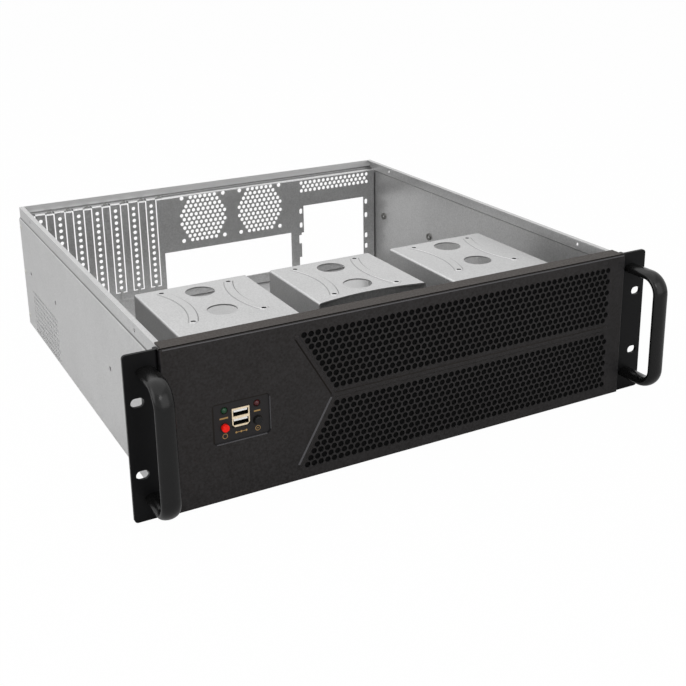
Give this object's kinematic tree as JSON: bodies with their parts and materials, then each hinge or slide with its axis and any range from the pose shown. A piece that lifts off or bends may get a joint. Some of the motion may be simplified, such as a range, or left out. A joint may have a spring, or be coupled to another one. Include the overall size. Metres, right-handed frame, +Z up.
{
  "type": "rackmount server case",
  "caption": "Empty rackmount server case: open zinc-plated tray with drive cages and a vented rear panel, black vented front pan with controls, rack ears and pull handles.",
  "frame": {"origin": "on the underside, midway across, in the plane of the rack posts, which is the rear face of the rack ears", "axes": "+X to the right seen from the front, +Y to the rear, +Z up"},
  "size_m": [0.4826, 0.4917, 0.1328],
  "materials": {
    "zinc_sheet": "zinc-plated sheet with a fine grain, semi-matt",
    "black_paint": "fine-textured black powder coat, matt",
    "black_satin": "smooth black coat, satin",
    "fastener_steel": "zinc-plated",
    "black_fastener": "blackened steel",
    "standoff_brass": "turned",
    "circuit_board": "solder resist, satin",
    "black_gauze": "fine woven black screen, matt",
    "black_plastic": "moulded, satin",
    "red_plastic": "moulded, glossy",
    "green_lens": "tinted epoxy lens",
    "red_lens": "tinted epoxy lens",
    "cream_plastic": "moulded, satin",
    "white_plastic": "moulded, satin"
  },
  "bodies": {
    "case": {"board_screws": "fastener_steel", "board_standoffs": "standoff_brass", "cage_rivets": "fastener_steel", "chassis_tray": "zinc_sheet", "control_board": "circuit_board", "control_plate": "black_paint", "drive_cage_left": "zinc_sheet", "drive_cage_middle": "zinc_sheet", "drive_cage_right": "zinc_sheet", "drive_led": "red_lens", "dust_screen": "black_gauze", "ear_left": "black_satin", "ear_right": "black_satin", "ear_screws": "black_fastener", "front_panel": "black_paint", "handle_left": "black_satin", "handle_right": "black_satin", "handle_screws": "black_fastener", "panel_rivets": "fastener_steel", "power_led": "green_lens", "power_switch": "black_plastic", "rail_nuts": "fastener_steel", "rear_panel": "zinc_sheet", "reset_switch": "black_plastic", "slot_cover_1": "zinc_sheet", "slot_cover_2": "zinc_sheet", "slot_cover_3": "zinc_sheet", "slot_cover_4": "zinc_sheet", "slot_cover_5": "zinc_sheet", "slot_cover_6": "zinc_sheet", "slot_cover_7": "zinc_sheet", "slot_cover_screws": "fastener_steel", "usb_shell": "cream_plastic", "usb_tongues": "white_plastic"},
    "power_button": {"power_button": "red_plastic"},
    "reset_button": {"reset_button": "black_plastic"}
  },
  "joints": [
    {"name": "power_press", "type": "slide", "parent": "case", "child": "power_button", "axis": [0, 1, 0], "range_m": [0, 0.0015], "stiffness_N_per_m": 300},
    {"name": "reset_press", "type": "slide", "parent": "case", "child": "reset_button", "axis": [0, 1, 0], "range_m": [0, 0.0015], "stiffness_N_per_m": 300}
  ]
}
